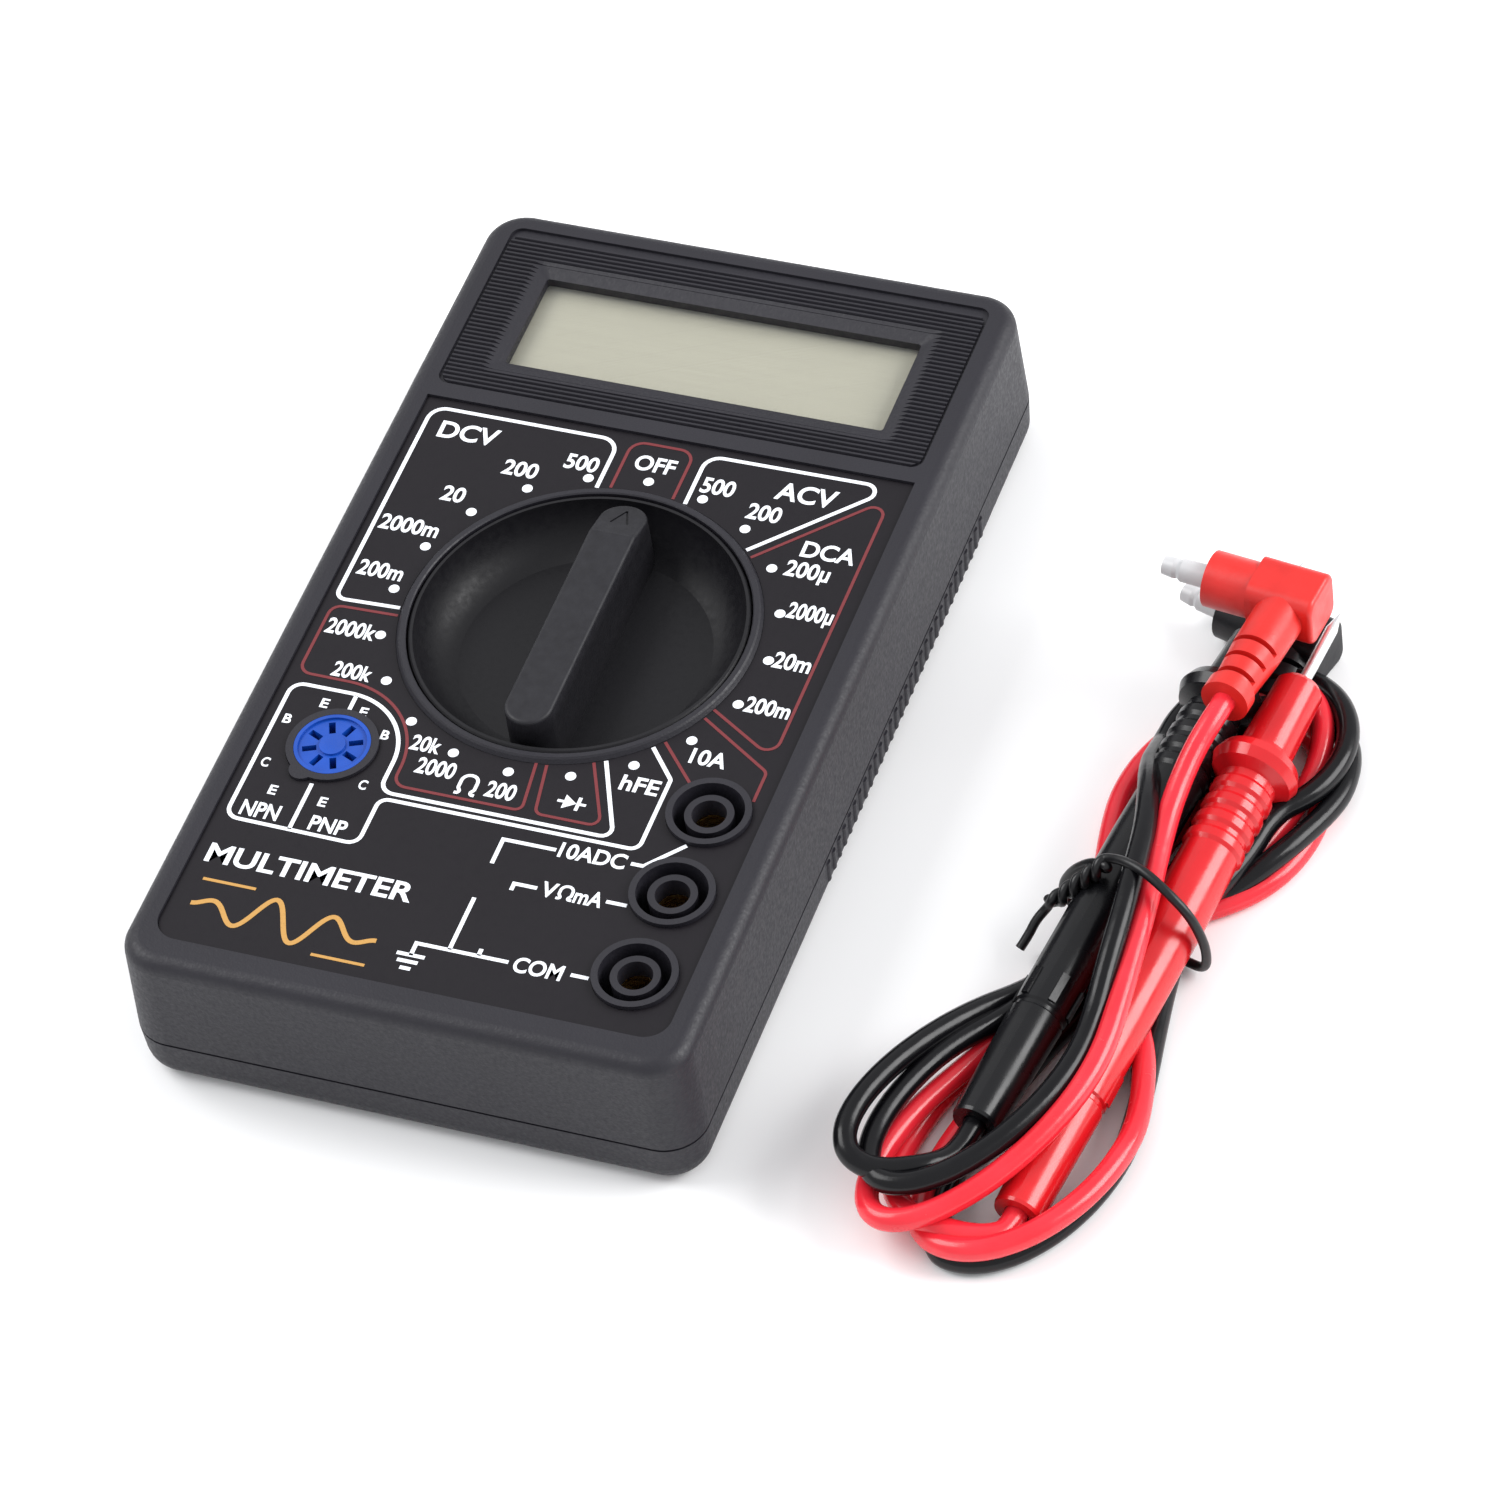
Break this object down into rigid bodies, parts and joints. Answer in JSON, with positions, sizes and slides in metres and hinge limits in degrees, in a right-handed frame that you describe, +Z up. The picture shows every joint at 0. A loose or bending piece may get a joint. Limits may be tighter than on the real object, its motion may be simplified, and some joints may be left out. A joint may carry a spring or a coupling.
{
  "type": "digital multimeter",
  "caption": "Pocket digital multimeter with a dished rotary range knob, three input jacks and a bundled pair of probe leads.",
  "frame": {"origin": "centre of the meter's underside, on the surface it lies on", "axes": "+X right, +Y towards the display, +Z up out of the face"},
  "size_m": [0.1254, 0.1282, 0.0239],
  "materials": {
    "case_plastic": "fine matte moulded texture",
    "label_sheet": "matte film with printed lines",
    "clear_window": "clear gloss",
    "lcd_glass": "smooth satin",
    "black_plastic": "satin",
    "grey_rubber": "matte",
    "circuit_board": "satin",
    "blue_plastic": "satin",
    "gold_contact": "polished",
    "black_epoxy": "satin",
    "bright_metal": "polished",
    "glass_tube": "clear gloss",
    "battery_wrap": "satin",
    "red_wire": "gloss",
    "black_wire": "gloss",
    "grey_foam": "matte open cells",
    "brass": "satin",
    "zinc_screw": "zinc plated",
    "resistor_body": "satin",
    "film_capacitor": "satin",
    "knob_plastic": "satin",
    "red_plug_rubber": "satin",
    "black_plug_rubber": "satin",
    "red_probe_plastic": "gloss",
    "black_probe_plastic": "gloss",
    "red_cord_pvc": "gloss",
    "black_cord_pvc": "gloss",
    "plug_pin": "frosted",
    "probe_steel": "polished",
    "black_tie": "satin"
  },
  "bodies": {
    "meter": {"front_case": "case_plastic", "rear_case": "case_plastic", "label_plate": "label_sheet", "display_window": "clear_window", "lcd_panel": "lcd_glass", "lcd_frame": "black_plastic", "zebra_strip": "grey_rubber", "circuit_board": "circuit_board", "transistor_socket": "blue_plastic", "transistor_contacts": "gold_contact", "chip_blob": "black_epoxy", "trimmer": "blue_plastic", "shunt_wire": "bright_metal", "fuse": "glass_tube", "fuse_clips": "bright_metal", "battery_9v": "battery_wrap", "battery_terminals": "bright_metal", "battery_snap": "black_plastic", "battery_wire_red": "red_wire", "battery_wire_black": "black_wire", "foam_pad": "grey_foam", "input_jack_10a": "brass", "input_jack_vma": "brass", "input_jack_com": "brass", "board_screw_1": "zinc_screw", "board_screw_2": "zinc_screw", "board_screw_3": "zinc_screw", "board_screw_4": "zinc_screw", "case_screw_1": "zinc_screw", "case_screw_2": "zinc_screw", "resistor_1": "resistor_body", "resistor_2": "resistor_body", "resistor_3": "resistor_body", "resistor_4": "resistor_body", "film_capacitor_1": "film_capacitor", "film_capacitor_2": "film_capacitor"},
    "knob": {"range_knob": "knob_plastic", "contact_wipers": "gold_contact", "detent_ball_left": "bright_metal", "detent_ball_right": "bright_metal", "detent_spring_left": "bright_metal", "detent_spring_right": "bright_metal"},
    "test_leads": {"twist_tie": "black_tie", "red_plug_body": "red_plug_rubber", "red_plug_pin": "plug_pin", "red_probe_handle": "red_probe_plastic", "red_probe_tip": "probe_steel", "red_lead_hank": "red_cord_pvc", "black_plug_body": "black_plug_rubber", "black_plug_pin": "plug_pin", "black_probe_handle": "black_probe_plastic", "black_probe_tip": "probe_steel", "black_lead_hank": "black_cord_pvc"}
  },
  "joints": [
    {"name": "knob_turn", "type": "hinge", "parent": "meter", "child": "knob", "pos_m": [0, -0.00104, 0.0139], "axis": [0, 0, 1], "continuous": true},
    {"name": "leads_lift", "type": "slide", "parent": "meter", "child": "test_leads", "axis": [0, 0, 1], "range_m": [0, 0.12]}
  ]
}
